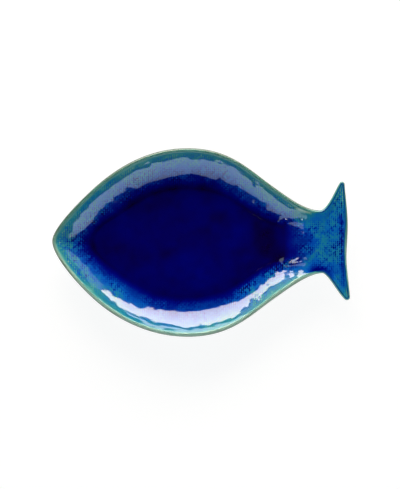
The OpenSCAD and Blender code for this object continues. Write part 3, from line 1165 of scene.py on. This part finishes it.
def make_clay(material):
    """The clay slab under the coats: rings up its face, over its lip and down
    its back, with a patch of floor at each end."""
    coarse = around[::clay_step]
    shares = np.linspace(0, 1, clay_rows + 1)
    face = wall_face(coarse, shares, 0)
    lip = lip_face(coarse, np.linspace(0, 180, clay_lip_rows + 1)[1:-1], 0)
    back = wall_back(coarse, shares[::-1], 0)
    rings = np.concatenate([face, lip, back])
    plan = floor_plan[::clay_step, ::clay_step]
    upper = floor_face(plan, floor_inside[::clay_step, ::clay_step], 0)[1:-1, 1:-1]
    lower = back_floor(plan, 0)[1:-1, 1:-1]
    ring_index = numbered(rings.shape[:2])
    first_inner = ring_index.size
    shape = upper.shape[:2]
    upper_index = framed_index(ring_index[0], first_inner, shape)
    lower_index = framed_index(ring_index[-1], first_inner + upper[..., 0].size, shape)
    closed = numbered(rings.shape[:2], closed=True)
    faces = [quads(closed), quads(upper_index), quads(lower_index)[:, ::-1]]
    made = piece("clay_slab", [rings, upper, lower], faces, material)
    belongs(made, "stoneware_body")


# Studio

# Tints of the light
warm = (1.04, 0.93, 0.8)
pale = (0.9, 0.94, 1.0)
cool = (0.66, 0.84, 0.9)

# Outlines of the soft boxes: corners (place along the wall, height) in metres,
# drawn so that what the glaze mirrors has the photograph's ragged edges
back_outline = (
    (-1.02, 0.6), (-0.92, 0.52), (-0.86, 0.34), (-0.45, 0.34), (-0.2, 0.385), (0.36, 0.385),
    (0.6, 0.35), (1.25, 0.33), (1.25, 0.42), (1.1, 0.73), (0.5, 0.88), (0.3, 1.2),
    (-0.2, 1.28), (-0.5, 1.42), (-0.72, 1.2), (-0.84, 1.04), (-1.0, 1.06), (-1.2, 1.3),
    (-1.32, 1.3), (-1.28, 0.95), (-1.04, 0.78),
)
strip_outline = (
    (-1.25, 0.0), (0.75, 0.0), (0.75, 0.19), (-0.3, 0.24), (-0.65, 0.12), (-1.25, 0.1),
)
dim_outline = (
    (-1.4, 0.12), (-0.75, 0.14), (-0.75, 0.3), (-0.9, 0.4), (-1.0, 0.5), (-1.0, 0.82),
    (-1.4, 0.82),
)
side_outline = ((1.3, 0.28), (1.7, 0.3), (2.15, 0.42), (2.1, 0.72), (1.6, 0.66), (1.3, 0.78))
front_outline = (
    (-1.05, 0.31), (-0.84, 0.305), (-0.5, 0.315), (-0.24, 0.335), (0.12, 0.345), (0.5, 0.27),
    (0.85, 0.33), (1.05, 0.34), (1.21, 0.26), (1.45, 0.17), (1.8, 0.45), (2.7, 0.8),
    (2.7, 1.3), (1.6, 1.15), (1.15, 1.0), (0.95, 1.12), (0.85, 1.3), (0.7, 1.8),
    (0.3, 1.6), (-0.3, 1.5), (-0.5, 1.52), (-0.75, 1.58), (-0.95, 1.42), (-1.05, 1.4),
)
left_outline = (
    (-2.9, 0.5), (-1.9, 0.8), (-1.3, 0.95), (-0.95, 1.05), (-0.95, 1.95), (-0.75, 2.1),
    (-0.75, 2.6), (-1.3, 2.9), (-1.9, 2.7), (-1.9, 1.7), (-2.9, 1.7),
)
middle_outline = ((0.2, 1.42), (0.75, 1.3), (0.8, 2.0), (0.2, 2.1))
patch_outline = (
    (-0.42, 1.6), (-0.5, 1.76), (-0.68, 1.8), (-0.82, 1.74), (-0.76, 1.62), (-0.6, 1.55),
)

# Name, wall, outline, radiance at its foot and at its top, tint, and whether it
# lights the clay or is only mirrored
softboxes = (
    ("back_softbox", ("y", 1.5), back_outline, (11.5, 7.8), warm, True),
    ("back_strip", ("y", 1.5), strip_outline, (5.6, 5.6), pale, True),
    ("back_dim", ("y", 1.5), dim_outline, (1.4, 1.4), pale, False),
    ("back_corner", ("y", 1.5), side_outline, (1.5, 1.5), cool, False),
    ("front_softbox", ("y", -1.5), front_outline, (3.1, 1.4), cool, True),
    ("left_softbox", ("x", -1.5), left_outline, (2.4, 1.8), cool, False),
    ("left_middle", ("x", -1.5), middle_outline, (1.7, 1.7), cool, False),
    ("left_patch", ("x", -1.5), patch_outline, (6.5, 6.5), pale, False),
)


def height_of(tree, kind):
    """The Z of texture coordinates of a kind."""
    return added(tree, "SeparateXYZ", {0: coordinates(tree, kind)}).outputs["Z"]


def blended(tree, share, first, second, output):
    """Leads two shaders to an output, mixed by the second one's share."""
    blend = added(tree, "MixShader", {0: share, 1: first.outputs[0], 2: second.outputs[0]})
    feed(tree, tree.nodes[output], {"Surface": blend.outputs[0]})


def softbox(name, wall, outline, radiance, tint, lights):
    """An upright glowing sheet in the plane where x or y, as the wall names it,
    has the wall's value in metres. Its radiance runs in a straight line from
    its lowest corner to its highest. The camera doesn't see it, but the glaze
    mirrors it."""
    axis, distance = wall
    along_wall, height = np.array(outline).T
    plan = np.column_stack([along_wall, np.full(len(outline), distance)])
    points = np.column_stack([plan if axis == "y" else plan[:, ::-1], height]) / MM
    material, tree, shader = finish(name)
    tree.nodes.remove(shader)
    fade = added(tree, "MapRange", {
        "Value": height_of(tree, "Object"),
        "From Min": height.min(), "From Max": height.max(),
        "To Min": radiance[0], "To Max": radiance[1],
    })
    glow = added(tree, "Emission", {"Color": (*tint, 1), "Strength": fade.outputs["Result"]})
    feed(tree, tree.nodes["Material Output"], {"Surface": glow.outputs[0]})
    made = piece(name, [points], [np.arange(len(outline))[None]], material)
    made.visible_camera = False
    made.visible_shadow = False
    made.visible_diffuse = lights


# The table's half width in metres, how brightly it glows to the camera and to
# mirrored rays, and the share of its look that the glow makes up there
table_half = 6.0
table_glow = 1.12
table_glow_share = 0.8


def make_floor():
    """A wide white table. The camera and mirrored rays see most of it as plain
    white, and the rest keeps the platter's shadow."""
    corners = np.array([[-1, -1, 0], [1, -1, 0], [1, 1, 0], [-1, 1, 0]])
    points = corners * table_half / MM
    material, tree, shader = finish("white_table")
    feed(tree, shader, {"Base Color": (0.9, 0.9, 0.9, 1), "Roughness": 0.9})
    glow = added(tree, "Emission", {"Strength": table_glow})
    path = added(tree, "LightPath", {}).outputs
    seen = maths(tree, "MAXIMUM", path["Is Camera Ray"], path["Is Glossy Ray"])
    share = maths(tree, "MULTIPLY", seen, table_glow_share)
    blended(tree, share, shader, glow, "Material Output")
    made = piece("table", [points], [np.array([[0, 1, 2, 3]])], material)


# The room's light from the horizon (0) up to overhead (1)
room_stops = (
    (0.0, (0.14, 0.14, 0.15, 1)),
    (0.3, (0.06, 0.06, 0.065, 1)),
    (0.6, (0.015, 0.015, 0.016, 1)),
    (0.85, (0.004, 0.004, 0.004, 1)),
)


def make_world():
    """A dim room that is darkest overhead, and white where the camera sees it."""
    world = bpy.data.worlds.new("studio")
    world.use_nodes = True
    tree = world.node_tree
    colour = ramp_colour(tree, height_of(tree, "Generated"), room_stops)
    room = feed(tree, tree.nodes["Background"], {"Color": colour})
    white = added(tree, "Background", {"Color": (1, 1, 1, 1), "Strength": 1})
    path = added(tree, "LightPath", {}).outputs
    blended(tree, path["Is Camera Ray"], room, white, "World Output")
    bpy.context.scene.world = world


# The photograph's frame round the platter: its longer side of 489 pixels at
# 1.44 mm each, and the place of its middle, in metres
seen_height = 489 * 1.44 * MM
view_middle = (-0.0019, -0.0029)
camera_height = 3.0
sensor = 36


def make_camera():
    """A long lens straight above. Its length is the sensor times the distance to
    the rim's level over what the frame holds there."""
    data = bpy.data.cameras.new("camera")
    data.sensor_width = sensor
    data.lens = sensor * (camera_height - rim_height * MM) / seen_height
    made = bpy.data.objects.new("camera", data)
    made.location = (*view_middle, camera_height)
    bpy.context.scene.collection.objects.link(made)
    bpy.context.scene.camera = made


# The platter and its studio

bpy.context.scene.view_settings.view_transform = "Standard"

face_finish = reactive_glaze("pooled_blue_glaze_and_side_light", "glaze_depth_and_side_light", face_stops)
rim_finish = reactive_glaze(
    "broken_rim_glaze_and_side_light", "rim_turn", upper_rim_shaded_stops, "rim_light_side", lower_rim_lit_stops
)
clay_finish = bare_clay("buff_stoneware", srgb(206, 186, 154), srgb(158, 134, 100))

make_face(face_finish)
make_rim(rim_finish)
make_clay(clay_finish)
make_back(rim_finish)
make_base(rim_finish)
make_foot(clay_finish)

make_floor()
make_world()
make_camera()
for each in softboxes:
    softbox(*each)
